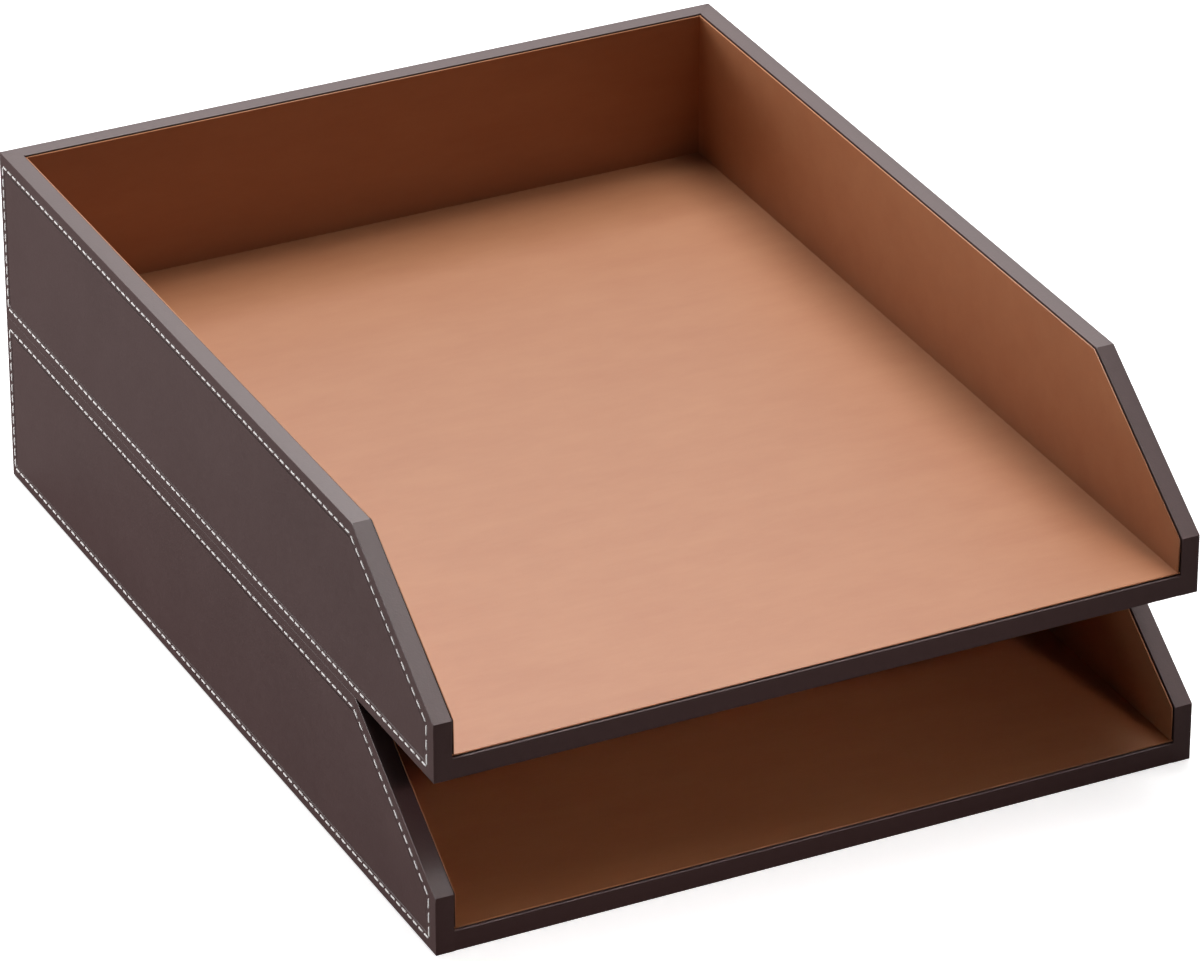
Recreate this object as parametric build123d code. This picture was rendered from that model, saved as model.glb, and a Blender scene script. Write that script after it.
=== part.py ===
from build123d import *
import math
import os

# Two-tier letter tray: two open-fronted trays of leather-covered board, one stacked on the other.
# Millimetres. +X is the right-hand side seen from the open front, +Y the back and +Z up.
# The origin is the middle of the footprint, on the surface that the tray stands on.
# Each tray is modelled in its own frame, with the underside of its leather at z = 0.

# Outside of one tray
tray_width = 260.0
tray_depth = 334.0
tier_height = 60.0     # underside of the leather to the rim
lip_height = 20.0      # side walls at the open front
slope_run = 56.0       # depth over which the side walls rise from the lip to the rim
edge_radius = 0.4      # leather folded over a board edge

# Boards under the leather
wall_board = 5.0
base_board = 6.0

# Leather, lining and felt
leather = 0.6
turn_in = 14.0         # leather folded round an edge and glued down
lining = 0.8           # where it laps the turned-in leather
lining_setback = 0.5   # line of dark leather left bare round the lining
felt_proud = 0.4
felt_gap = 0.5         # between the felt and the turned-in leather

# Stitching, from the edges of its panel
stitch_from_rim = 4.2
stitch_from_bottom = 3.4
stitch_from_front = 4.8
stitch_from_corner = 2.4
thread_width = 0.8
thread_sunk = 0.3
thread_proud = 0.2

# Square-cut nails through the outer boards
nail_width = 1.2
nail_thickness = 1.0
nail_length = 18.0
nail_from_end = 30.0
nails_per_side = 4
nails_per_back = 3
nails_per_corner = 2
corner_nail_from_rim = 14.0
corner_nail_spacing = 24.0

# Pegs that locate the upper tray on the lower one
peg_diameter = 2.5
peg_sunk = 10.0
peg_proud = 6.0
peg_tip = 0.4          # chamfer
peg_clearance = 0.1    # on the radius
peg_from_slope = 20.0
peg_from_back = 30.0
sleeve_wall = 0.45
sleeve_length = 8.0

# Worked out from the sizes above
half_width = tray_width / 2
front_y = -tray_depth / 2
back_y = tray_depth / 2
wall = leather + wall_board + leather
base = leather + base_board + leather
board_face = half_width - leather - wall_board    # inner face of a side board, from the middle
wall_face = half_width - wall                     # inner face of a side wall's leather
board_back = back_y - leather - wall_board        # inner face of the back board
wall_back = back_y - wall
board_top = leather + base_board
floor_top = base + lining
lined_back = wall_back - lining
lower_z = felt_proud
upper_z = felt_proud + tier_height
halfway = 0.5


def block(x_from, x_to, y_from, y_to, z_from, z_to):
    corner = (Align.MIN, Align.MIN, Align.MIN)
    return Pos(x_from, y_from, z_from) * Box(x_to - x_from, y_to - y_from, z_to - z_from, align=corner)


def mirrored(shape):
    return mirror(shape, about=Plane.YZ)


# What the sloping front edge takes off a side wall, with the slope moved in by an inset
def above_slope(x_from, x_to, inset):
    rise = tier_height - lip_height
    length = math.hypot(slope_run, rise)
    start_y = front_y + inset * rise / length
    start_z = lip_height - inset * slope_run / length
    low = (start_y - slope_run, start_z - rise)
    high = (start_y + 2 * slope_run, start_z + 2 * rise)
    outline = Plane.YZ * make_face(Polyline(low, high, (low[0], high[1]), close=True))
    return Pos(x_from, 0, 0) * extrude(outline, x_to - x_from, dir=(1, 0, 0))


# A layer of the side wall: its rim and slope, its front end, its bottom and its back are each placed
def side_slab(x_from, x_to, rim_inset, front_inset, bottom, back):
    slab = block(x_from, x_to, front_y + front_inset, back, bottom, tier_height - rim_inset)
    return slab - above_slope(x_from, x_to, rim_inset)


def left_board():
    return side_slab(-half_width + leather, -board_face, leather, leather, leather, back_y - leather)


def back_board():
    return block(-board_face, board_face, board_back, back_y - leather, leather, tier_height - leather)


def base_panel():
    return block(-board_face, board_face, front_y + leather, board_back, leather, board_top)


def spread(first, last, count):
    return [first + (last - first) * step / (count - 1) for step in range(count)]


def nail(start, direction):
    foot = (Align.CENTER, Align.CENTER, Align.MIN)
    driven = Plane(origin=start, x_dir=(0, 0, 1), z_dir=direction)
    return driven * Box(nail_width, nail_thickness, nail_length, align=foot)


# Nails from the left, from the right and from the back, each driven flush with the outer board
def panel_nails():
    side_x = -half_width + leather
    base_z = leather + base_board / 2
    corner_y = board_back + wall_board / 2
    corner_z = tier_height - corner_nail_from_rim
    sides = []
    for y in spread(front_y + nail_from_end, board_back - nail_from_end, nails_per_side):
        sides.append(nail((side_x, y, base_z), (1, 0, 0)))
    for step in range(nails_per_corner):
        sides.append(nail((side_x, corner_y, corner_z - step * corner_nail_spacing), (1, 0, 0)))
    rear = []
    for x in spread(-board_face + nail_from_end, board_face - nail_from_end, nails_per_back):
        rear.append(nail((x, back_y - leather, base_z), (0, -1, 0)))
    return sides + [mirrored(each) for each in sides] + rear


# Edges of the covered tray that show, apart from the two creases at the ends of each slope
def shows(edge):
    middle = edge @ halfway
    along = edge % halfway
    nearly_one = 0.99
    underneath = middle.Z < leather
    inside_floor = abs(middle.Z - base) < leather and middle.Y > front_y + leather
    inside_corner = abs(along.Z) > nearly_one and abs(middle.Y - wall_back) < leather
    crease = abs(along.X) > nearly_one and abs(middle.X) > wall_face
    return not (underneath or inside_floor or inside_corner or crease)


def tray_outside():
    side = side_slab(-half_width, -wall_face, 0, 0, 0, back_y)
    back = block(-half_width, half_width, wall_back, back_y, 0, tier_height)
    floor = block(-half_width, half_width, front_y, back_y, 0, base)
    outside = side + mirrored(side) + back + floor
    return fillet([edge for edge in outside.edges() if shows(edge)], edge_radius)


# Leather over every outer face and edge, turned in round the rims, the front and the underside
def tray_leather(boards):
    skin = tray_outside()
    for board in boards:
        skin -= board
    under = (front_y + turn_in, back_y - turn_in, 0, leather)
    skin -= block(turn_in - half_width, half_width - turn_in, *under)
    skin -= block(-board_face, board_face, front_y + turn_in, board_back, board_top, base)
    bare_side = side_slab(-board_face, -wall_face, turn_in, turn_in, board_top, board_back)
    skin -= bare_side
    skin -= mirrored(bare_side)
    skin -= block(-board_face, board_face, wall_back, board_back, board_top, tier_height - turn_in)
    return skin


# A column over an outline seen from above, tall enough to pass right through the tray
def column(*corners):
    outline = make_face(Polyline(*corners, close=True))
    return Pos(0, 0, -turn_in) * extrude(outline, tier_height + 2 * turn_in, dir=(0, 0, 1))


# The leather is cut into a piece for each side, mitred at the two back corners
def left_area():
    seam_front = front_y + turn_in
    seam_back = back_y - turn_in
    outer_x = -half_width - turn_in
    outer_front = front_y - turn_in
    inner_x = -half_width + turn_in
    front_end = ((outer_x, outer_front), (-wall_face, outer_front), (-wall_face, seam_front))
    return column(*front_end, (inner_x, seam_front), (inner_x, seam_back), (outer_x, back_y + turn_in))


def back_area():
    outer_x = half_width + turn_in
    inner_x = half_width - turn_in
    outer_y = back_y + turn_in
    inner_y = back_y - turn_in
    return column((-outer_x, outer_y), (outer_x, outer_y), (inner_x, inner_y), (-inner_x, inner_y))


def front_area():
    outer_y = front_y - turn_in
    inner_y = front_y + turn_in
    return column((-wall_face, outer_y), (wall_face, outer_y), (wall_face, inner_y), (-wall_face, inner_y))


# A closed line of thread round a panel, let into the leather by one depth and standing out by another
def side_thread(sunk, proud):
    half = thread_width / 2

    def within(step):
        rim = stitch_from_rim + step
        front = stitch_from_front + step
        bottom = stitch_from_bottom + step
        back = back_y - stitch_from_corner - step
        return side_slab(-half_width - proud, -half_width + sunk, rim, front, bottom, back)

    return within(-half) - within(half)


def back_thread(sunk, proud):
    half = thread_width / 2

    def within(step):
        x = half_width - stitch_from_corner - step
        bottom = stitch_from_bottom + step
        return block(-x, x, back_y - sunk, back_y + proud, bottom, tier_height - stitch_from_rim - step)

    return within(-half) - within(half)


# Each lining is thicker behind, where it fills the space between the turned-in edges of the leather
def floor_lining():
    top = block(-wall_face, wall_face, front_y + lining_setback, wall_back, base, floor_top)
    return top + block(-wall_face, wall_face, front_y + turn_in, wall_back, board_top, base)


def left_lining():
    inner_x = -wall_face + lining
    face = side_slab(-wall_face, inner_x, lining_setback, lining_setback, floor_top, lined_back)
    return face + side_slab(-board_face, -wall_face, turn_in, turn_in, floor_top, lined_back)


def back_lining():
    face = block(-wall_face, wall_face, lined_back, wall_back, floor_top, tier_height - lining_setback)
    return face + block(-wall_face, wall_face, wall_back, board_back, floor_top, tier_height - turn_in)


def base_felt():
    x = half_width - turn_in - felt_gap
    edge = turn_in + felt_gap
    return block(-x, x, front_y + edge, back_y - edge, -felt_proud, leather)


def peg_places():
    peg_x = board_face + wall_board / 2
    ends = (front_y + slope_run + peg_from_slope, back_y - peg_from_back)
    return [Pos(x, y, 0) for x in (-peg_x, peg_x) for y in ends]


def rod(radius, z_from, z_to):
    foot = (Align.CENTER, Align.CENTER, Align.MIN)
    return Pos(0, 0, z_from) * Cylinder(radius, z_to - z_from, align=foot)


def stacking_peg():
    peg = rod(peg_diameter / 2, tier_height - peg_sunk, tier_height + peg_proud)
    return chamfer(peg.edges().group_by(Axis.Z)[-1], peg_tip)


def peg_hole():
    return rod(peg_diameter / 2, tier_height - peg_sunk, tier_height)


def sleeve_hole():
    return rod(peg_diameter / 2 + peg_clearance + sleeve_wall, 0, sleeve_length)


def peg_sleeve():
    return sleeve_hole() - rod(peg_diameter / 2 + peg_clearance, 0, sleeve_length)


def plain_tray():
    nails = panel_nails()
    boards = {
        "left_board": left_board(),
        "right_board": mirrored(left_board()),
        "back_board": back_board(),
        "base_board": base_panel(),
    }
    skin = tray_leather(boards.values())
    left_groove = side_thread(thread_sunk, 0)
    tray = {name: board - nails for name, board in boards.items()}
    tray["panel_nails"] = Compound(nails)
    tray["left_cover"] = (skin & left_area()) - left_groove
    tray["right_cover"] = (skin & mirrored(left_area())) - mirrored(left_groove)
    tray["back_cover"] = (skin & back_area()) - back_thread(thread_sunk, 0)
    tray["front_cover"] = skin & front_area()
    tray["left_stitching"] = side_thread(thread_sunk, thread_proud)
    tray["right_stitching"] = mirrored(tray["left_stitching"])
    tray["back_stitching"] = back_thread(thread_sunk, thread_proud)
    tray["floor_lining"] = floor_lining()
    tray["left_lining"] = left_lining()
    tray["right_lining"] = mirrored(left_lining())
    tray["back_lining"] = back_lining()
    tray["base_felt"] = base_felt()
    return tray


# A tray with a row of holes drilled into its side walls for the pegs or for their sleeves
def drilled(tray, hole):
    holes = [place * hole for place in peg_places()]
    walls = ("left_board", "right_board", "left_cover", "right_cover")
    return {name: shape - holes if name in walls else shape for name, shape in tray.items()}


def letter_tray():
    tray = plain_tray()
    nodes = {}
    for tier, hole, height in (("lower", peg_hole(), lower_z), ("upper", sleeve_hole(), upper_z)):
        for name, shape in drilled(tray, hole).items():
            nodes[f"{tier}_{name}"] = Pos(0, 0, height) * shape
    pegs = [place * stacking_peg() for place in peg_places()]
    sleeves = [place * peg_sleeve() for place in peg_places()]
    nodes["stacking_pegs"] = Pos(0, 0, lower_z) * Compound(pegs)
    nodes["peg_sleeves"] = Pos(0, 0, upper_z) * Compound(sleeves)
    return nodes


os.makedirs("parts", exist_ok=True)
for node, shape in letter_tray().items():
    export_step(shape, f"parts/{node}.step")
    print(node, len(shape.solids()))
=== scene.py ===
import math

import bpy
from mathutils import Matrix, Vector


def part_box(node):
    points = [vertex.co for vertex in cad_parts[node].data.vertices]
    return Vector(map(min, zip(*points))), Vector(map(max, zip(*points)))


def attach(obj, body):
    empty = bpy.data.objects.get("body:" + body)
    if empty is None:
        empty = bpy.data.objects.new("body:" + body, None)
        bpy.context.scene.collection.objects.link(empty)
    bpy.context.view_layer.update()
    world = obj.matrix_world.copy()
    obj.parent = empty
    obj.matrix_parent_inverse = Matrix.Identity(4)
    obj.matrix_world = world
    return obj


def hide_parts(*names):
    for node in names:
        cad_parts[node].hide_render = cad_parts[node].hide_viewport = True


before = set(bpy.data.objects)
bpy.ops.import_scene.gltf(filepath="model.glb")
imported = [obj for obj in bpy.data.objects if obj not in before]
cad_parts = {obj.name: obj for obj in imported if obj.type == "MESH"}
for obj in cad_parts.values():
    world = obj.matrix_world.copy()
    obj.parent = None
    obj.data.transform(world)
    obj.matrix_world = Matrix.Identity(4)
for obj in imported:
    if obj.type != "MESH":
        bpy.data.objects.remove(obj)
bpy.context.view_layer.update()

mm = 0.001
slack = 1e-9    # metres, where two ways to work out a length may differ
scene = bpy.context.scene
scene.view_settings.view_transform = "Standard"
print("frame loaded with", len(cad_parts), "nodes")


# screen values 0 to 255 as the linear colour that the shaders take
def tone(red, green, blue):
    shares = [value / 255 for value in (red, green, blue)]
    linear = [s / 12.92 if s <= 0.04045 else ((s + 0.055) / 1.055) ** 2.4 for s in shares]
    return (*linear, 1.0)


# a shader socket that can stand in a Python expression
class Wire:
    def __init__(self, finish, socket):
        self.finish = finish
        self.socket = socket

    def sum(self, operation, first, second):
        return self.finish.node("ShaderNodeMath", {"operation": operation}, {0: first, 1: second})

    def __add__(self, other):
        return self.sum("ADD", self, other)

    def __radd__(self, other):
        return self.sum("ADD", other, self)

    def __rsub__(self, other):
        return self.sum("SUBTRACT", other, self)

    def __mul__(self, other):
        return self.sum("MULTIPLY", self, other)


# a material, or the world, with its nodes
class Finish:
    def __init__(self, name, owner=None):
        self.material = owner or bpy.data.materials.new(name)
        self.material.use_nodes = True
        self.tree = self.material.node_tree
        self.tree.nodes.clear()

    def node(self, kind, settings=None, sockets=None, output=0):
        made = self.tree.nodes.new(kind)
        for name, value in (settings or {}).items():
            setattr(made, name, value)
        for name, value in (sockets or {}).items():
            if isinstance(value, Wire):
                self.tree.links.new(value.socket, made.inputs[name])
            else:
                made.inputs[name].default_value = value
        return Wire(self, made.outputs[output]) if len(made.outputs) else made

    def spots(self, stretch=(1, 1, 1)):
        place = self.node("ShaderNodeTexCoord", output="Object")
        if stretch == (1, 1, 1):
            return place
        return self.node("ShaderNodeMapping", None, {"Vector": place, "Scale": stretch})

    def noise(self, place, perMetre, detail, rough=0.55):
        sockets = {"Vector": place, "Scale": perMetre, "Detail": detail, "Roughness": rough}
        return self.node("ShaderNodeTexNoise", None, sockets)

    def cells(self, place, perMetre):
        return self.node("ShaderNodeTexVoronoi", None, {"Vector": place, "Scale": perMetre})

    def attribute(self, name):
        return self.node("ShaderNodeAttribute", {"attribute_name": name}, None, "Fac")

    def spread(self, value, low, high):
        sockets = {"Value": value, "From Min": low, "From Max": high}
        return self.node("ShaderNodeMapRange", {"clamp": True}, sockets)

    def blend(self, share, first, second):
        return self.node("ShaderNodeMix", {"data_type": "RGBA"}, {0: share, 6: first, 7: second}, 2)

    def relief(self, height, look):
        sockets = {"Height": height, "Distance": look["depth"], "Strength": look["strength"]}
        return self.node("ShaderNodeBump", None, sockets)

    def close(self, **sockets):
        named = {name.replace("_", " "): value for name, value in sockets.items()}
        shader = self.node("ShaderNodeBsdfPrincipled", None, named)
        self.node("ShaderNodeOutputMaterial", None, {"Surface": shader})
        return self.material


# clouds, creases, grain and the like are counted to the metre
darkLeather = {
    "color": tone(77, 56, 55),
    "deep": tone(73, 52, 51),
    # lighter colour for worn leather, which on the rims and rounded edges is also painted sheen
    "rubbedAndSheen": tone(82, 61, 60),
    "clouds": 26,
    "creases": 420,
    "grain": 1500,
    "depth": 0.05 * mm,
    "strength": 0.6,
    "rough": 0.3,
    "roughMore": 0.16,             # what the creases add
    "shine": 0.58,
}
tanLining = {
    "color": tone(181, 122, 82),
    "deep": tone(172, 110, 71),
    "edge": tone(38, 19, 12),      # painted shade: near-black on the faces inside the slots under the free edges
    "clouds": 80,
    "cloudStretch": (0.4, 1, 1),
    "streaks": 520,
    "streakStretch": (0.12, 1, 1),
    "nap": 2600,
    "depth": 0.02 * mm,
    "strength": 0.5,
    "rough": 0.42,
    "roughMore": 0.12,
    "shine": 0.62,
}
whiteThread = {
    "color": tone(255, 253, 252),
    "shade": tone(243, 236, 232),
    "turns": 5,
    "plies": 2,
    "fuzz": 3800,
    "depth": 0.06 * mm,
    "strength": 0.6,
    "rough": 0.6,
    "roughMore": 0.1,
    "shine": 0.3,
}
baseFelt = {
    "color": tone(190, 138, 106),
    "fibre": tone(212, 164, 132),
    "fibres": 1900,
    "stretch": (1, 1, 0.4),
    "depth": 0.2 * mm,
    "strength": 0.8,
    "rough": 0.95,
    "roughLess": 0.08,
    "shine": 0.1,
}
fibreBoard = {
    "color": tone(176, 140, 98),
    "fleck": tone(140, 106, 70),
    "flecks": 1400,
    "depth": 0.05 * mm,
    "strength": 0.6,
    "rough": 0.85,
    "roughMore": 0.08,
    "shine": 0.15,
}
latheMarks = {
    "marks": 5200,
    "stretch": (0.2, 0.2, 1),
    "depth": 0.01 * mm,
    "strength": 0.4,
    "roughMore": 0.16,
}
brightSteel = {"color": tone(186, 187, 190), "rough": 0.22}
turnedBrass = {"color": tone(205, 170, 98), "rough": 0.24}


def leatherFinish(look):
    made = Finish("darkLeather")
    place = made.spots()
    cloud = made.spread(made.noise(place, look["clouds"], 4.0), 0.35, 0.65)
    pebble = made.cells(place, look["grain"])
    crease = made.noise(place, look["creases"], 5.0, 0.6)
    body = made.blend(cloud, look["deep"], look["color"])
    # lighter in patches along the creases where worn; on the rims and rounded edges this is painted
    # sheen too
    rubbedAndSheen = made.attribute("rub") * made.spread(crease, 0.1, 0.5)
    return made.close(
        Base_Color=made.blend(rubbedAndSheen, body, look["rubbedAndSheen"]),
        Roughness=look["rough"] + crease * look["roughMore"],
        Specular_IOR_Level=look["shine"],
        Normal=made.relief(pebble * 0.6 + crease * 0.8, look),
    )


def liningFinish(look):
    made = Finish("tanLining")
    cloud = made.noise(made.spots(look["cloudStretch"]), look["clouds"], 5.0, 0.62)
    streak = made.noise(made.spots(look["streakStretch"]), look["streaks"], 2.0)
    nap = made.noise(made.spots(), look["nap"], 2.0)
    mottle = made.spread(cloud, 0.3, 0.7) * 0.7 + streak * 0.3
    body = made.blend(mottle, look["deep"], look["color"])
    return made.close(
        # painted shade: the faces inside the slots under the free edges are near-black
        Base_Color=made.blend(made.attribute("edge"), body, look["edge"]),
        Roughness=look["rough"] + nap * look["roughMore"],
        Specular_IOR_Level=look["shine"],
        Normal=made.relief(nap * 0.7 + streak * 0.3, look),
    )


def threadFinish(look):
    made = Finish("whiteThread")
    twist = made.attribute("along") * look["turns"] + made.attribute("around") * look["plies"]
    ply = made.node("ShaderNodeMath", {"operation": "SINE"}, {0: twist * (2 * math.pi)}) * 0.5 + 0.5
    fuzz = made.noise(made.spots(), look["fuzz"], 2.0)
    # painted shade in the grooves between the plies, with random fuzz on top
    light = made.spread(ply * 0.7 + fuzz * 0.6, 0.1, 0.7)
    return made.close(
        Base_Color=made.blend(light, look["shade"], look["color"]),
        Roughness=look["rough"] + fuzz * look["roughMore"],
        Specular_IOR_Level=look["shine"],
        Normal=made.relief(ply * 0.8 + fuzz * 0.3, look),
    )


def feltFinish(look):
    made = Finish("baseFelt")
    fibre = made.noise(made.spots(look["stretch"]), look["fibres"], 6.0, 0.7)
    return made.close(
        Base_Color=made.blend(made.spread(fibre, 0.4, 0.7), look["color"], look["fibre"]),
        Roughness=look["rough"] - fibre * look["roughLess"],
        Specular_IOR_Level=look["shine"],
        Normal=made.relief(fibre, look),
    )


def boardFinish(look):
    made = Finish("fibreBoard")
    fleck = made.noise(made.spots(), look["flecks"], 5.0, 0.65)
    return made.close(
        Base_Color=made.blend(made.spread(fleck, 0.4, 0.65), look["fleck"], look["color"]),
        Roughness=look["rough"] + fleck * look["roughMore"],
        Specular_IOR_Level=look["shine"],
        Normal=made.relief(fleck, look),
    )


def metalFinish(name, look):
    made = Finish(name)
    lathe = made.noise(made.spots(latheMarks["stretch"]), latheMarks["marks"], 3.0)
    return made.close(
        Base_Color=look["color"],
        Metallic=1.0,
        Roughness=look["rough"] + lathe * latheMarks["roughMore"],
        Normal=made.relief(lathe, latheMarks),
    )


leather = leatherFinish(darkLeather)
lining = liningFinish(tanLining)
thread = threadFinish(whiteThread)
felt = feltFinish(baseFelt)
board = boardFinish(fibreBoard)
steel = metalFinish("brightSteel", brightSteel)
brass = metalFinish("turnedBrass", turnedBrass)
print("finishes made")


trayForm = {
    "lipHeight": 20 * mm,     # front end of a side wall
    "slopeRun": 56 * mm,      # how far back the slope reaches
    "turnIn": 14 * mm,        # leather folded over an edge
    "outerRound": 0.2 * mm,   # edges that lie against the next tray
    "innerRound": 0.2 * mm,   # edges next to the lining
    "lipRound": 0.35 * mm,    # front edge of the floor
    "roundSteps": 4,
    "lipParts": 60,           # along the front edge
    "skin": 0.92,             # share of the leather's thickness that the sheet fills
    "tuck": 0.12 * mm,        # how far a fold lies under the next one
    "underFront": 1.0 * mm,   # where a side's lower fold starts under the front cover
}
wearAndSheen = {"rim": 1.0, "edge": 0.5, "under": 0.3}    # how much of the lighter colour each part gets: wear, and painted sheen on the rims and rounded edges
seam = {
    # how far the thread lies from each edge of a panel
    "side": {
        "front": 4.8 * mm,
        "slope": 4.2 * mm,
        "rim": 4.2 * mm,
        "back": 2.4 * mm,
        "bottom": 3.4 * mm,
    },
    "back": {"left": 2.4 * mm, "right": 2.4 * mm, "rim": 4.2 * mm, "bottom": 3.4 * mm},
    "pitch": {"slope": 4.4 * mm, "front": 4.8 * mm},
    "usualPitch": 4.0 * mm,
    "stepsPerStitch": 4,
    "holeDepth": 0.18 * mm,
    "pull": (1.0, 0.7, 0.6, 0.7),   # how deep along one stitch, from hole to hole
    "spread": 0.5 * mm,
    "rings": (-1.6 * mm, -0.9 * mm, -0.42 * mm, 0.0, 0.42 * mm, 0.9 * mm, 1.6 * mm),
}


# the sizes of one tier, from the frame
def tierSizes(tier):
    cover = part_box(f"{tier}_left_cover")
    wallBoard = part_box(f"{tier}_left_board")
    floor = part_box(f"{tier}_floor_lining")
    thick = wallBoard[0].x - cover[0].x
    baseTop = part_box(f"{tier}_base_board")[1].z + thick
    return {
        "left": cover[0].x,
        "right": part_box(f"{tier}_right_cover")[1].x,
        "front": cover[0].y,
        "back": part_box(f"{tier}_back_cover")[1].y,
        "bottom": cover[0].z,
        "top": cover[1].z,
        "leather": thick,
        "wall": 2 * thick + wallBoard[1].x - wallBoard[0].x,
        "baseTop": baseTop,
        "floorTop": floor[1].z,
        "lining": floor[1].z - baseTop,
    }


# a side wall seen square on: corners as (y, z), drawn in from each edge
def sidePanel(t, faceX, inward):
    lip, run = trayForm["lipHeight"], trayForm["slopeRun"]
    rise = t["top"] - t["bottom"] - lip
    slant = math.hypot(run, rise)

    def corners(inset):
        frontY = t["front"] + inset["front"]
        topZ = t["top"] - inset["rim"]
        lipZ = t["bottom"] + lip + (inset["front"] * rise - inset["slope"] * slant) / run
        slopeY = t["front"] + (inset["slope"] * slant + (rise - inset["rim"]) * run) / rise
        backY = t["back"] - inset["back"]
        lowZ = t["bottom"] + inset["bottom"]
        return [(frontY, lowZ), (frontY, lipZ), (slopeY, topZ), (backY, topZ), (backY, lowZ)]

    def place(point, depth):
        return (faceX + inward * depth, point[0], point[1])

    return {"sides": ("front", "slope", "rim", "back", "bottom"), "corners": corners, "place": place}


# the back wall: corners as (x, z)
def backPanel(t, faceY, inward):
    def corners(inset):
        leftX = t["left"] + inset["left"]
        rightX = t["right"] - inset["right"]
        topZ = t["top"] - inset["rim"]
        lowZ = t["bottom"] + inset["bottom"]
        return [(rightX, lowZ), (rightX, topZ), (leftX, topZ), (leftX, lowZ)]

    def place(point, depth):
        return (point[0], faceY + inward * depth, point[1])

    return {"sides": ("right", "rim", "left", "bottom"), "corners": corners, "place": place}


# something lying flat: corners as (x, y)
def flatPanel(t, faceZ, inward):
    def corners(inset):
        leftX = t["left"] + inset["left"]
        rightX = t["right"] - inset["right"]
        frontY = t["front"] + inset["front"]
        backY = t["back"] - inset["back"]
        return [(leftX, frontY), (rightX, frontY), (rightX, backY), (leftX, backY)]

    def place(point, depth):
        return (point[0], point[1], faceZ + inward * depth)

    return {"sides": ("front", "right", "back", "left"), "corners": corners, "place": place}


# points along some edges of an outline, in so many steps an edge
def along(points, sides, steps, closed):
    ring = []
    for k, side in enumerate(sides):
        a, b = points[k], points[(k + 1) % len(points)]
        for i in range(steps[side]):
            f = i / steps[side]
            ring.append((a[0] + (b[0] - a[0]) * f, a[1] + (b[1] - a[1]) * f))
    if not closed:
        ring.append(points[len(sides)])
    return ring


# a quarter of a circle in steps, as pairs of sine and cosine
def quarterTurn():
    steps = trayForm["roundSteps"]
    angles = [math.pi / 2 * k / steps for k in range(steps + 1)]
    return [(math.sin(angle), math.cos(angle)) for angle in angles]


# points less than a tenth of a micron apart count as one
def weldKey(point):
    return tuple(round(c * 1e7) for c in point)


def withoutRepeats(loop):
    return [c for k, c in enumerate(loop) if c != loop[k - 1]]


# whether the corners run round so that their face looks along a direction
def looksAlong(points, corners, direction):
    loop = [Vector(points[c]) for c in corners]
    turn = sum((a.cross(b) for a, b in zip(loop, loop[1:] + loop[:1])), Vector())
    return turn.dot(Vector(direction)) > 0


# a face and the side of it that is glued down, closed into one thin body
class Skin:
    def __init__(self):
        self.points, self.under, self.rubAndSheenValues = [], [], []
        self.found, self.faces, self.soft = {}, [], []

    def spot(self, point, under, rub=0.0):
        key = weldKey(point)
        if key not in self.found:
            self.found[key] = len(self.points)
            self.points.append(point)
            self.under.append(under)
            self.rubAndSheenValues.append(rub)
        return self.found[key]

    def face(self, corners, soft):
        kept = withoutRepeats(corners)
        if len(set(kept)) > 2:
            self.faces.append(kept)
            self.soft.append(soft)

    def strip(self, near, far, soft, closed):
        count = len(near)
        for i in range(count if closed else count - 1):
            j = (i + 1) % count
            self.face([near[i], far[i], far[j], near[j]], soft)

    def body(self, name, finish, outward):
        faces = self.faces
        if not looksAlong(self.points, faces[0], outward):
            faces = [f[::-1] for f in faces]
        places, underAt, seen = list(self.points), [], {}
        for point in self.under:
            key = weldKey(point)
            if key not in seen:
                seen[key] = len(places)
                places.append(point)
            underAt.append(seen[key])
        edges = {(a, b) for f in faces for a, b in zip(f, f[1:] + f[:1])}
        rest = [[underAt[c] for c in reversed(f)] for f in faces]
        rest += [[b, a, underAt[a], underAt[b]] for a, b in sorted(edges) if (b, a) not in edges]
        rest = [f for f in map(withoutRepeats, rest) if len(set(f)) > 2]
        mesh = bpy.data.meshes.new(name)
        mesh.from_pydata(places, [], faces + rest)
        mesh.polygons.foreach_set("use_smooth", self.soft + [False] * len(rest))
        rub = mesh.attributes.new("rub", "FLOAT", "POINT")
        rub.data.foreach_set("value", self.rubAndSheenValues + [0.0] * (len(places) - len(self.rubAndSheenValues)))
        mesh.validate()
        return addPiece(name, mesh, finish)


def addPiece(name, mesh, finish):
    if not mesh.materials:
        mesh.materials.append(finish)
    piece = bpy.data.objects.new(name, mesh)
    scene.collection.objects.link(piece)
    return piece


# how many stitches lie on each edge of a panel
def stitchCounts(panel, inset):
    points = panel["corners"](inset)
    counts = {}
    for side, a, b in zip(panel["sides"], points, points[1:] + points[:1]):
        counts[side] = round(math.dist(a, b) / seam["pitch"].get(side, seam["usualPitch"]))
    return counts


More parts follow.
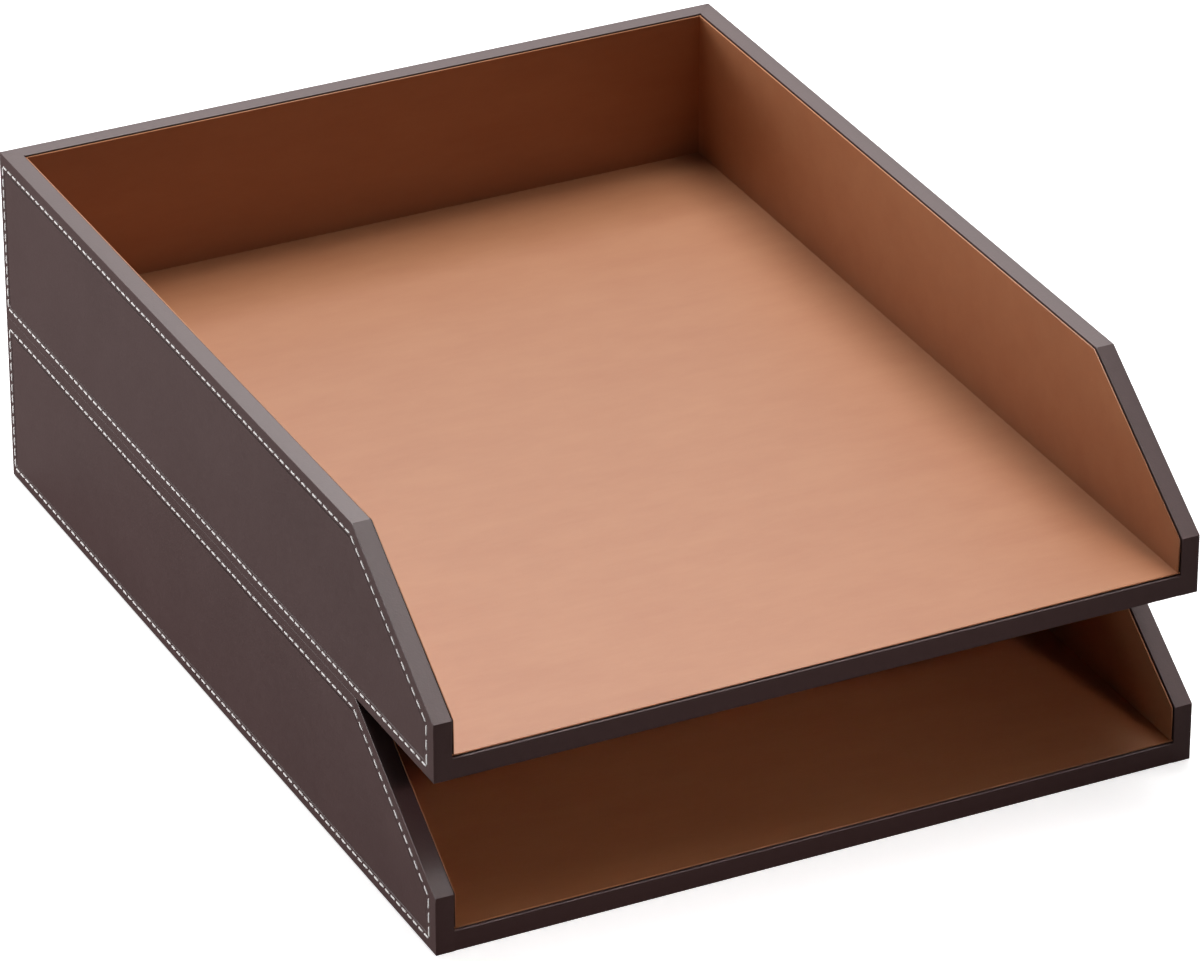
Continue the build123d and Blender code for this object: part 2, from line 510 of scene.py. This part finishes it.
# the outer face with its stitched valley, up to the end of the rounded edge
def panelFace(skin, panel, lines, rounds, steps, thin):
    sides, place = panel["sides"], panel["place"]
    gluedEdge = {s: max(thin, rounds["inset"][s]) for s in sides}
    glued = along(panel["corners"](gluedEdge), sides, steps, True)
    previous = None
    for offset in seam["rings"]:
        ring = along(panel["corners"]({s: lines[s] - offset for s in sides}), sides, steps, True)
        fall = seam["holeDepth"] * math.exp(-((offset / seam["spread"]) ** 2))
        ids = []
        for i, point in enumerate(ring):
            depth = fall * seam["pull"][i % seam["stepsPerStitch"]]
            ids.append(skin.spot(place(point, depth), place(point, thin)))
        if previous is None:
            skin.face(ids, False)
        else:
            skin.strip(ids, previous, True, True)
        previous = ids
    for k, (sine, cosine) in enumerate(quarterTurn()):
        inset = {s: rounds["inset"][s] + rounds["radius"][s] * (1 - sine) for s in sides}
        ring = along(panel["corners"](inset), sides, steps, True)
        depth = trayForm["outerRound"] * (1 - cosine)
        # the rounded edge turns lighter towards the rim: wear and painted sheen
        rub = wearAndSheen["edge"] * k / trayForm["roundSteps"]
        ids = [skin.spot(place(a, depth), place(b, thin), rub) for a, b in zip(ring, glued)]
        skin.strip(ids, previous, k > 0, True)
        previous = ids


# the rim from the outer edge over to the inside, then down behind the lining
def rimRows(t):
    inner, wall = trayForm["innerRound"], t["wall"]
    rows = [(0.0, depth, False) for depth in (trayForm["outerRound"], wall / 2, wall - inner)]
    for sine, cosine in quarterTurn()[1:]:
        rows.append((inner * (1 - cosine), wall - inner * (1 - sine), True))
    rows.append((trayForm["turnIn"], wall, False))
    return rows


def sideCover(t, name, faceX, inward):
    panel = sidePanel(t, faceX, inward)
    sides, place, lines = panel["sides"], panel["place"], seam["side"]
    steps = {s: n * seam["stepsPerStitch"] for s, n in stitchCounts(panel, lines).items()}
    thin = t["leather"] * trayForm["skin"]
    outer, inner, wall = trayForm["outerRound"], trayForm["innerRound"], t["wall"]
    skin = Skin()
    rounds = {"inset": {s: 0.0 for s in sides}, "radius": {s: outer for s in sides}}
    panelFace(skin, panel, lines, rounds, steps, thin)
    # front end, slope and rim, cut at a mitre at the back
    plain = None
    previous = None
    for inset, depth, soft in rimRows(t):
        mitre = wall * (depth - outer) / (wall - outer)
        glue = max(inset, thin)
        cut = {"front": inset, "slope": inset, "rim": inset, "back": mitre, "bottom": 0.0}
        underCut = {"front": glue, "slope": glue, "rim": glue, "back": max(mitre, thin), "bottom": thin}
        row = along(panel["corners"](cut), sides[:3], steps, False)
        underRow = along(panel["corners"](underCut), sides[:3], steps, False)
        plain = plain or row
        inside = depth > wall - inner - slack
        ids = []
        for i, point in enumerate(row):
            at, underDepth = depth, min(max(depth, thin), wall - thin)
            under = underRow[i]
            # below the floor the front end stays flat
            if inside and i < steps["front"] and plain[i][1] < t["baseTop"]:
                point, at = plain[i], wall
                under, underDepth = (point[0] + thin, max(point[1], t["bottom"] + thin)), wall
            ids.append(skin.spot(place(point, at), place(under, underDepth), wearAndSheen["rim"]))
        if previous:
            skin.strip(ids, previous, soft, False)
        previous = ids
    # under the wall
    low = along([(t["back"], t["bottom"]), (t["front"], t["bottom"])], ("bottom",), steps, False)
    previous = None
    for reach in (outer, wall / 2, wall - inner, wall, wall + trayForm["tuck"], trayForm["turnIn"]):
        ids = []
        for y, z in low:
            # goes in under the front cover
            if reach > wall and y < t["front"] + trayForm["turnIn"]:
                y, z = max(y, t["front"] + trayForm["underFront"]), z + trayForm["tuck"]
            depth = max(outer, min(reach, t["back"] - y))
            under = (min(max(y, t["front"] + thin), t["back"] - thin), z + thin)
            ids.append(skin.spot(place((y, z), depth), place(under, max(depth, thin)), wearAndSheen["under"]))
        if previous:
            skin.strip(ids, previous, False, False)
        previous = ids
    return skin.body(name, leather, (-inward, 0, 0))


def backCover(t, name):
    panel = backPanel(t, t["back"], -1)
    place, lines = panel["place"], seam["back"]
    steps = {s: n * seam["stepsPerStitch"] for s, n in stitchCounts(panel, lines).items()}
    thin = t["leather"] * trayForm["skin"]
    outer, wall = trayForm["outerRound"], t["wall"]
    skin = Skin()
    rounds = {
        "inset": {"left": outer, "right": outer, "rim": 0.0, "bottom": 0.0},
        "radius": {"left": 0.0, "right": 0.0, "rim": outer, "bottom": outer},
    }
    panelFace(skin, panel, lines, rounds, steps, thin)
    previous = None
    for inset, depth, soft in rimRows(t):
        mitre = outer + (wall - outer) * max(0.0, depth - outer) / (wall - outer)
        inside, glue = max(mitre, thin), max(inset, thin)
        ends = [(t["right"] - mitre, t["top"] - inset), (t["left"] + mitre, t["top"] - inset)]
        underEnds = [(t["right"] - inside, t["top"] - glue), (t["left"] + inside, t["top"] - glue)]
        row = along(ends, ("rim",), steps, False)
        underRow = along(underEnds, ("rim",), steps, False)
        underDepth = min(max(depth, thin), wall - thin)
        ids = [
            skin.spot(place(point, depth), place(under, underDepth), wearAndSheen["rim"])
            for point, under in zip(row, underRow)
        ]
        if previous:
            skin.strip(ids, previous, soft, False)
        previous = ids
    previous = None
    for depth in (outer, trayForm["turnIn"]):
        ends = [(t["left"] + depth, t["bottom"]), (t["right"] - depth, t["bottom"])]
        ids = []
        for x, z in along(ends, ("bottom",), steps, False):
            under = place((x, z + thin), max(depth, thin))
            ids.append(skin.spot(place((x, z), depth), under, wearAndSheen["under"]))
        if previous:
            skin.strip(ids, previous, False, False)
        previous = ids
    return skin.body(name, leather, (0, 1, 0))


# leather round the front edge of the base, between the two walls
def frontCover(t, name):
    outer, inner, fold = trayForm["outerRound"], trayForm["lipRound"], trayForm["turnIn"]
    thin = t["leather"] * trayForm["skin"]
    front, low, high = t["front"], t["bottom"], t["baseTop"]
    section = [((front + fold, low), wearAndSheen["under"], False)]
    for k, (sine, cosine) in enumerate(quarterTurn()):
        point = (front + outer * (1 - sine), low + outer * (1 - cosine))
        section.append((point, wearAndSheen["edge"], k > 0))
    for k, (sine, cosine) in enumerate(quarterTurn()):
        point = (front + inner * (1 - cosine), high - inner * (1 - sine))
        section.append((point, wearAndSheen["rim"], k > 0))
    section.append(((front + fold, high), wearAndSheen["under"], False))
    skin = Skin()
    start, end = t["left"] + t["wall"], t["right"] - t["wall"]
    parts = trayForm["lipParts"]
    previous = None
    for (y, z), rub, soft in section:
        under = (max(y, front + thin), min(max(z, low + thin), high - thin))
        ids = []
        for i in range(parts + 1):
            x = start + (end - start) * i / parts
            ids.append(skin.spot((x, y, z), (x, *under), rub))
        if previous:
            skin.strip(ids, previous, soft, False)
        previous = ids
    return skin.body(name, leather, (0, 0, -1))


liningCut = {
    "setback": 0.5 * mm,
    "edge": 0.16 * mm,
    "lipEdge": 0.25 * mm,
    "slot": {"front": 0.5 * mm, "slope": 0.45 * mm, "rim": 0.34 * mm},
    "slotReach": 1.2 * mm,
}
feltEdge = 0.3 * mm


# a thin sheet with rounded free edges, and a slot under them where the backing stops short
def sheetBody(name, panel, inset, radius, thick, finish, slots=None):
    biggest = max(radius.values())
    rows = []
    for sine, cosine in quarterTurn():
        extra = {s: r * (1 - sine) for s, r in radius.items()}
        rows.append((extra, biggest * (1 - cosine), 0.0))
    if slots:
        for height in sorted(set(slots.values()), reverse=True):
            rows.append((extra, thick - height, 0.0))
            cut = {s: liningCut["slotReach"] for s, slot in slots.items() if slot >= height}
            extra = {**extra, **cut}
            # faces inside the slot are marked 1.0 and painted near-black as painted shade
            rows.append((extra, thick - height, 1.0))
        rows.append((extra, thick, 1.0))
    else:
        for sine, cosine in quarterTurn():
            extra = {s: r * (1 - cosine) for s, r in radius.items()}
            rows.append((extra, thick - biggest * (1 - sine), 0.0))
    points, rings = [], []
    for extra, depth, _ in rows:
        outline = panel["corners"]({s: inset[s] + extra[s] for s in panel["sides"]})
        rings.append(range(len(points), len(points) + len(outline)))
        points += [panel["place"](point, depth) for point in outline]
    faces, soft, paintedSlotShade = [list(rings[0])], [False], [0.0]
    for near, far, row in zip(rings, rings[1:], rows[1:]):
        for i in range(len(near)):
            j = (i + 1) % len(near)
            faces.append([near[i], far[i], far[j], near[j]])
            soft.append(radius[panel["sides"][i]] > 0)
            paintedSlotShade.append(row[2])
    faces.append(list(reversed(rings[-1])))
    soft.append(False)
    paintedSlotShade.append(0.0)
    outward = Vector(panel["place"]((0, 0), 0)) - Vector(panel["place"]((0, 0), 1))
    if not looksAlong(points, faces[0], outward):
        faces = [f[::-1] for f in faces]
    mesh = bpy.data.meshes.new(name)
    mesh.from_pydata(points, [], faces)
    mesh.polygons.foreach_set("use_smooth", soft)
    mesh.attributes.new("edge", "FLOAT", "FACE").data.foreach_set("value", paintedSlotShade)
    return addPiece(name, mesh, finish)


def wallLining(t, name, faceX, inward):
    free, edge = liningCut["setback"], liningCut["edge"]
    inset = {
        "front": free,
        "slope": free,
        "rim": free,
        "back": t["wall"] + t["lining"],
        "bottom": t["floorTop"] - t["bottom"],
    }
    radius = {"front": edge, "slope": edge, "rim": edge, "back": 0.0, "bottom": 0.0}
    panel = sidePanel(t, faceX, inward)
    return sheetBody(name, panel, inset, radius, t["lining"], lining, liningCut["slot"])


def backLining(t, name):
    inset = {
        "left": t["wall"],
        "right": t["wall"],
        "rim": liningCut["setback"],
        "bottom": t["floorTop"] - t["bottom"],
    }
    radius = {"left": 0.0, "right": 0.0, "rim": liningCut["edge"], "bottom": 0.0}
    panel = backPanel(t, t["back"] - t["wall"] - t["lining"], 1)
    slots = {"rim": liningCut["slot"]["rim"]}
    return sheetBody(name, panel, inset, radius, t["lining"], lining, slots)


def floorLining(t, name):
    inset = {"left": t["wall"], "right": t["wall"], "front": liningCut["setback"], "back": t["wall"]}
    radius = {"left": 0.0, "right": 0.0, "front": liningCut["lipEdge"], "back": 0.0}
    panel = flatPanel(t, t["floorTop"], -1)
    slots = {"front": liningCut["slot"]["front"]}
    return sheetBody(name, panel, inset, radius, t["lining"], lining, slots)


def feltSheet(tier, t, name):
    low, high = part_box(f"{tier}_base_felt")
    inset = {
        "left": low.x - t["left"],
        "right": t["right"] - high.x,
        "front": low.y - t["front"],
        "back": t["back"] - high.y,
    }
    radius = {s: feltEdge for s in inset}
    return sheetBody(name, flatPanel(t, low.z, 1), inset, radius, high.z - low.z, felt)


tiers = {"lower": tierSizes("lower"), "upper": tierSizes("upper")}


def settle(piece, tier, slot, *nodes):
    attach(piece, f"{tier}_tray")
    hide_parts(*[f"{tier}_{node}" for node in nodes])


pegHole = {
    "radius": {"stacking_pegs": 1.25 * mm, "peg_sleeves": 1.8 * mm},
    "corners": 32,
    "reach": 12 * mm,
}


# round holes for the pegs and sleeves, cut right through the leather
def pierce(piece, node):
    low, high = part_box(node)
    radius, reach, count = pegHole["radius"][node], pegHole["reach"], pegHole["corners"]
    middle = (low.z + high.z) / 2
    points, faces = [], []
    for x in (low.x + radius, high.x - radius):
        for y in (low.y + radius, high.y - radius):
            start = len(points)
            for z in (middle - reach, middle + reach):
                for i in range(count):
                    angle = 2 * math.pi * i / count
                    points.append((x + radius * math.cos(angle), y + radius * math.sin(angle), z))
            lowEnd = range(start, start + count)
            highEnd = range(start + count, start + 2 * count)
            faces += [list(reversed(lowEnd)), list(highEnd)]
            for i in range(count):
                j = (i + 1) % count
                faces.append([lowEnd[i], lowEnd[j], highEnd[j], highEnd[i]])
    mesh = bpy.data.meshes.new("drill")
    mesh.from_pydata(points, [], faces)
    drill = addPiece("drill", mesh, leather)
    cut = piece.modifiers.new("holes", "BOOLEAN")
    cut.operation = "DIFFERENCE"
    cut.solver = "EXACT"
    cut.object = drill
    graph = bpy.context.evaluated_depsgraph_get()
    whole = piece.data
    piece.data = bpy.data.meshes.new_from_object(piece.evaluated_get(graph), depsgraph=graph)
    piece.modifiers.clear()
    piece.data.name = whole.name
    bpy.data.meshes.remove(whole)
    bpy.data.objects.remove(drill)


for tier, t in tiers.items():
    holed = "stacking_pegs" if tier == "lower" else "peg_sleeves"
    for side, faceX, inward in (("left", t["left"], 1), ("right", t["right"], -1)):
        cover = sideCover(t, f"{tier}_{side}_leather", faceX, inward)
        pierce(cover, holed)
        settle(cover, tier, "dark_leather", f"{side}_cover")
        face = faceX + inward * (t["wall"] + t["lining"])
        sheet = wallLining(t, f"{tier}_{side}_tan", face, -inward)
        settle(sheet, tier, "tan_lining", f"{side}_lining")
    settle(backCover(t, f"{tier}_back_leather"), tier, "dark_leather", "back_cover")
    settle(frontCover(t, f"{tier}_front_leather"), tier, "dark_leather", "front_cover")
    settle(backLining(t, f"{tier}_back_tan"), tier, "tan_lining", "back_lining")
    settle(floorLining(t, f"{tier}_floor_tan"), tier, "tan_lining", "floor_lining")
    settle(feltSheet(tier, t, f"{tier}_felt_sheet"), tier, "felt", "base_felt")
    print(tier, "tray covered and lined")


stitch = {
    "length": 0.72,            # share of the way from hole to hole
    "width": 0.8 * mm,
    "height": 0.46 * mm,
    "proud": 0.2 * mm,         # how far the middle stands over the leather
    "dive": 0.3 * mm,          # how deep the ends go into their holes
    "seed": 7,
    "points": 8,               # along the thread
    "sides": 6,                # round it
    "bowPower": 7.0,           # how late the ends turn down
    "taperPower": 4.0,
    "taperShare": 0.5,         # what the ends lose of their thickness
    "sway": 0.03,              # radians out of line
}


# rows of stitches on straight lines, one line an edge of a panel
def stitchTree():
    tree = bpy.data.node_groups.new("stitchRow", "GeometryNodeTree")
    tree.interface.new_socket("Lines", in_out="INPUT", socket_type="NodeSocketGeometry")
    for name in ("Length", "Width", "Height", "Proud", "Dive"):
        tree.interface.new_socket(name, in_out="INPUT", socket_type="NodeSocketFloat")
    tree.interface.new_socket("Seed", in_out="INPUT", socket_type="NodeSocketInt")
    tree.interface.new_socket("Stitches", in_out="OUTPUT", socket_type="NodeSocketGeometry")

    def add(kind, settings=None, sockets=None):
        made = tree.nodes.new(kind)
        for name, value in (settings or {}).items():
            setattr(made, name, value)
        for name, value in (sockets or {}).items():
            if isinstance(value, bpy.types.NodeSocket):
                tree.links.new(value, made.inputs[name])
            else:
                made.inputs[name].default_value = value
        return made

    def maths(operation, first, second=0.0):
        return add("ShaderNodeMath", {"operation": operation}, {0: first, 1: second}).outputs[0]

    def vector(**parts):
        return add("ShaderNodeCombineXYZ", None, parts).outputs[0]

    def keep(geometry, name, value):
        sockets = {"Geometry": geometry, "Name": name, "Value": value}
        return add("GeometryNodeStoreNamedAttribute", {"data_type": "FLOAT"}, sockets).outputs[0]

    given = add("NodeGroupInput").outputs
    # one stitch a metre long on X, bowed up in the middle and thin where it goes into its holes
    ends = {"Start": (-0.5, 0, 0), "End": (0.5, 0, 0)}
    line = add("GeometryNodeCurvePrimitiveLine", None, ends).outputs[0]
    sockets = {"Curve": line, "Count": stitch["points"]}
    line = add("GeometryNodeResampleCurve", {"mode": "COUNT"}, sockets).outputs[0]
    share = add("GeometryNodeSplineParameter").outputs["Factor"]
    across = maths("ABSOLUTE", maths("SUBTRACT", maths("MULTIPLY", share, 2.0), 1.0))
    swung = maths("SINE", maths("MULTIPLY", maths("SUBTRACT", share, 0.5), math.pi))
    crowded = maths("MULTIPLY", swung, 0.5)
    steep = maths("POWER", across, stitch["bowPower"])
    middle = maths("SUBTRACT", given["Proud"], maths("MULTIPLY", given["Height"], 0.5))
    bow = maths("SUBTRACT", middle, maths("MULTIPLY", steep, maths("ADD", middle, given["Dive"])))
    lost = maths("MULTIPLY", maths("POWER", across, stitch["taperPower"]), stitch["taperShare"])
    taper = maths("SUBTRACT", 1.0, lost)
    sockets = {"Resolution": stitch["sides"], "Radius": 0.5}
    ring = add("GeometryNodeCurvePrimitiveCircle", None, sockets).outputs[0]
    ring = keep(ring, "around", share)
    line = keep(keep(line, "along", share), "taper", taper)
    line = keep(keep(line, "bow", bow), "crowded", crowded)
    sockets = {"Curve": line, "Profile Curve": ring, "Fill Caps": True}
    tube = add("GeometryNodeCurveToMesh", None, sockets).outputs[0]

    def kept(name, kind="FLOAT"):
        return add("GeometryNodeInputNamedAttribute", {"data_type": kind}, {"Name": name}).outputs[0]

    place = add("ShaderNodeSeparateXYZ", None, {0: add("GeometryNodeInputPosition").outputs[0]}).outputs
    wide = maths("MULTIPLY", maths("MULTIPLY", place[1], given["Width"]), kept("taper"))
    tall = maths("MULTIPLY", maths("MULTIPLY", place[2], given["Height"]), kept("taper"))
    spot = vector(X=kept("crowded"), Y=wide, Z=maths("ADD", tall, kept("bow")))
    single = add("GeometryNodeSetPosition", None, {"Geometry": tube, "Position": spot}).outputs[0]
    # as many parts on each line as it has stitches, with one stitch in each
    rows = add("GeometryNodeMeshToCurve", None, {"Mesh": given["Lines"]}).outputs[0]
    count = maths("ADD", kept("stitches"), 1.0)
    sockets = {"Curve": rows, "Count": count}
    rows = add("GeometryNodeResampleCurve", {"mode": "COUNT"}, sockets).outputs[0]
    parts = add("GeometryNodeCurveToMesh", None, {"Curve": rows}).outputs[0]
    tips = add("GeometryNodeInputMeshEdgeVertices").outputs
    sockets = {0: tips["Position 2"], 1: tips["Position 1"]}
    run = add("ShaderNodeVectorMath", {"operation": "SUBTRACT"}, sockets).outputs[0]
    capture = add("GeometryNodeCaptureAttribute", {"domain": "EDGE"})
    capture.capture_items.new("VECTOR", "Run")
    tree.links.new(parts, capture.inputs[0])
    tree.links.new(run, capture.inputs["Run"])
    run = capture.outputs["Run"]
    spots = add("GeometryNodeMeshToPoints", {"mode": "EDGES"}, {"Mesh": capture.outputs[0]}).outputs[0]
    turned = add("FunctionNodeAlignRotationToVector", {"axis": "X"}, {"Vector": run}).outputs[0]
    sockets = {"Rotation": turned, "Vector": kept("outward", "FLOAT_VECTOR")}
    axes = {"axis": "Z", "pivot_axis": "X"}
    turned = add("FunctionNodeAlignRotationToVector", axes, sockets).outputs[0]
    sway = add("FunctionNodeRandomValue", {"data_type": "FLOAT"}, {"Seed": given["Seed"]})
    sway.inputs[2].default_value = -stitch["sway"]
    sway.inputs[3].default_value = stitch["sway"]
    swing = add("FunctionNodeEulerToRotation", None, {0: vector(Z=sway.outputs[1])}).outputs[0]
    sockets = {"Rotation": turned, "Rotate By": swing}
    turned = add("FunctionNodeRotateRotation", {"rotation_space": "LOCAL"}, sockets).outputs[0]
    reach = add("ShaderNodeVectorMath", {"operation": "LENGTH"}, {0: run}).outputs["Value"]
    size = vector(X=maths("MULTIPLY", reach, given["Length"]), Y=1.0, Z=1.0)
    sockets = {"Points": spots, "Instance": single, "Rotation": turned, "Scale": size}
    sewn = add("GeometryNodeInstanceOnPoints", None, sockets).outputs[0]
    sewn = add("GeometryNodeRealizeInstances", None, {"Geometry": sewn}).outputs[0]
    sewn = add("GeometryNodeSetShadeSmooth", None, {"Geometry": sewn}).outputs[0]
    sewn = add("GeometryNodeSetMaterial", None, {"Geometry": sewn, "Material": thread}).outputs[0]
    add("NodeGroupOutput", None, {"Stitches": sewn})
    return tree


stitchRow = stitchTree()


# a line for each edge of a panel, with the way it faces and its number of stitches
def seamLines(t):
    panels = [
        (sidePanel(t, t["left"], 1), seam["side"], (-1, 0, 0)),
        (sidePanel(t, t["right"], -1), seam["side"], (1, 0, 0)),
        (backPanel(t, t["back"], -1), seam["back"], (0, 1, 0)),
    ]
    points, edges, facing, counts = [], [], [], []
    for panel, inset, outward in panels:
        corners = panel["corners"](inset)
        number = stitchCounts(panel, inset)
        for side, a, b in zip(panel["sides"], corners, corners[1:] + corners[:1]):
            edges.append((len(points), len(points) + 1))
            points += [panel["place"](a, 0.0), panel["place"](b, 0.0)]
            facing += [outward, outward]
            counts += [number[side], number[side]]
    return points, edges, facing, counts


for tier, t in tiers.items():
    points, edges, facing, counts = seamLines(t)
    lines = bpy.data.meshes.new(f"{tier}_seam_lines")
    lines.from_pydata(points, edges, [])
    way = lines.attributes.new("outward", "FLOAT_VECTOR", "POINT")
    way.data.foreach_set("vector", [c for v in facing for c in v])
    lines.attributes.new("stitches", "FLOAT", "POINT").data.foreach_set("value", counts)
    row = addPiece(f"{tier}_seam_lines", lines, thread)
    sewing = row.modifiers.new("stitches", "NODES")
    sewing.node_group = stitchRow
    for item in stitchRow.interface.items_tree:
        if item.name.lower() in stitch:
            sewing[item.identifier] = stitch[item.name.lower()]
    graph = bpy.context.evaluated_depsgraph_get()
    mesh = bpy.data.meshes.new_from_object(row.evaluated_get(graph), depsgraph=graph)
    row.modifiers.clear()
    bpy.data.objects.remove(row)
    bpy.data.meshes.remove(lines)
    mesh.name = f"{tier}_white_stitches"
    sewn = addPiece(f"{tier}_white_stitches", mesh, thread)
    settle(sewn, tier, "thread", "left_stitching", "right_stitching", "back_stitching")
    print(tier, "tray sewn,", len(mesh.polygons), "faces")


# what stays as the frame has it
def finishNode(node, finish):
    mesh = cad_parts[node].data
    mesh.materials.clear()
    mesh.materials.append(finish)


for tier in tiers:
    for wallName in ("base", "left", "right", "back"):
        finishNode(f"{tier}_{wallName}_board", board)
    finishNode(f"{tier}_panel_nails", steel)
finishNode("stacking_pegs", steel)
finishNode("peg_sleeves", brass)
print("boards, nails, pegs and sleeves finished")


studio = {
    "centre": (0, 0, 0.06),        # what the lamps are placed round
    "floorSize": 8.0,
    "floorGlow": 0.75,             # white that only the camera sees
    "glossShare": 0.03,            # how much of it a gloss shows
    "floorWhite": tone(250, 250, 250),
    "floorShade": tone(92, 91, 90),
    "air": (0.012, 0.012, 0.012, 1.0),
    "lamps": {
        "highBack": {"azimuth": 168, "elevation": 60.5, "away": 1.5, "size": (1.0, 0.9), "watts": 18.4},
        "highRight": {"azimuth": 114, "elevation": 70, "away": 1.5, "size": (0.6, 0.6), "watts": 7.2},
        "lowBack": {"azimuth": 158, "elevation": 37, "away": 1.5, "size": (0.8, 0.5), "watts": 0.75},
        "left": {"azimuth": 244, "elevation": 8, "away": 1.6, "size": (0.6, 0.35), "watts": 9.8},
        "leftStrip": {"azimuth": 262, "elevation": 0, "away": 1.6, "size": (1.1, 0.1), "watts": 10.8},
        "slope": {
            "azimuth": 35,
            "elevation": 65.4,
            "away": 0.934,
            "size": (0.2, 0.2),
            "watts": 0.02,
            "spread": 26,
            "aim": (-0.11, -0.139, 0.09),
        },
        "front": {
            "azimuth": 12,
            "elevation": 26,
            "away": 1.0,
            "size": (0.34, 0.12),
            "watts": 0.053,
            "color": (1.0, 0.82, 0.8),    # warm, as the lower bay is
            "spread": 18,
            "aim": (-0.04, -0.13, 0.01),
        },
    },
}


def seenWhite(made, glossShare):
    ray = made.node("ShaderNodeLightPath", output="Is Camera Ray")
    gloss = made.node("ShaderNodeLightPath", output="Is Glossy Ray")
    through = made.node("ShaderNodeLightPath", output="Is Transmission Ray")
    bounced = made.node("ShaderNodeLightPath", output="Diffuse Depth")
    straight = made.node("ShaderNodeClamp", None, {"Value": 1 - bounced})
    return made.node("ShaderNodeClamp", None, {"Value": ray + gloss * straight * glossShare + through})


def floorFinish():
    made = Finish("paleFloor")
    seen = seenWhite(made, studio["glossShare"])
    dull = made.node("ShaderNodeBsdfDiffuse", None, {"Color": studio["floorShade"]})
    pale = made.node("ShaderNodeBsdfDiffuse", None, {"Color": studio["floorWhite"]})
    sockets = {"Color": (1, 1, 1, 1), "Strength": studio["floorGlow"]}
    glow = made.node("ShaderNodeEmission", None, sockets)
    shown = made.node("ShaderNodeAddShader", None, {0: pale, 1: glow})
    mixed = made.node("ShaderNodeMixShader", None, {0: seen, 1: dull, 2: shown})
    made.node("ShaderNodeOutputMaterial", None, {"Surface": mixed})
    return made.material


half = studio["floorSize"] / 2
mesh = bpy.data.meshes.new("paleFloor")
corners = [(-half, -half, 0), (half, -half, 0), (half, half, 0), (-half, half, 0)]
mesh.from_pydata(corners, [], [(0, 1, 2, 3)])
addPiece("pale_floor", mesh, floorFinish())

scene.world = scene.world or bpy.data.worlds.new("studio")
sky = Finish("studio", scene.world)
dim = sky.node("ShaderNodeBackground", None, {"Color": studio["air"], "Strength": 1.0})
white = sky.node("ShaderNodeBackground", None, {"Color": (1, 1, 1, 1), "Strength": 1.0})
mixed = sky.node("ShaderNodeMixShader", None, {0: seenWhite(sky, 1.0), 1: dim, 2: white})
sky.node("ShaderNodeOutputWorld", None, {"Surface": mixed})


# the way to a place at an azimuth, 0 in front and 90 on the right, and an elevation
def wayTo(setting):
    turn, lift = math.radians(setting["azimuth"]), math.radians(setting["elevation"])
    return Vector((math.sin(turn) * math.cos(lift), -math.cos(turn) * math.cos(lift), math.sin(lift)))


def addLamp(name, setting):
    lamp = bpy.data.lights.new(name, "AREA")
    lamp.shape = "RECTANGLE"
    lamp.size, lamp.size_y = setting["size"]
    lamp.energy = setting["watts"]
    lamp.color = setting.get("color", (1, 1, 1))
    lamp.spread = math.radians(setting.get("spread", 180))
    holder = bpy.data.objects.new(name, lamp)
    holder.location = Vector(studio["centre"]) + wayTo(setting) * setting["away"]
    aim = Vector(setting.get("aim", studio["centre"]))
    holder.rotation_euler = (holder.location - aim).to_track_quat("Z", "Y").to_euler()
    holder.visible_camera = False
    scene.collection.objects.link(holder)


for name, setting in studio["lamps"].items():
    addLamp(f"{name}Lamp", setting)


view = {
    "target": (0, 0, 0.060),
    "azimuth": -26.182,
    "elevation": 28.783,
    "distance": 2.3255,
    "slide": (0.00603, -0.00993),
    "lens": 218.22,
    "sensor": 36.0,
    "clipEnd": 50.0,
}
back = wayTo(view)
right = Vector((0, 0, 1)).cross(back).normalized()
up = back.cross(right)
camera = bpy.data.objects.new("photoCamera", bpy.data.cameras.new("photoCamera"))
camera.data.sensor_fit = "HORIZONTAL"
camera.data.sensor_width = view["sensor"]
camera.data.lens = view["lens"]
camera.data.clip_end = view["clipEnd"]
straight = Vector(view["target"]) + back * view["distance"]
camera.location = straight + right * view["slide"][0] + up * view["slide"][1]
camera.rotation_euler = Matrix((right, up, back)).transposed().to_euler()
scene.collection.objects.link(camera)
scene.camera = camera
print("studio and camera set")
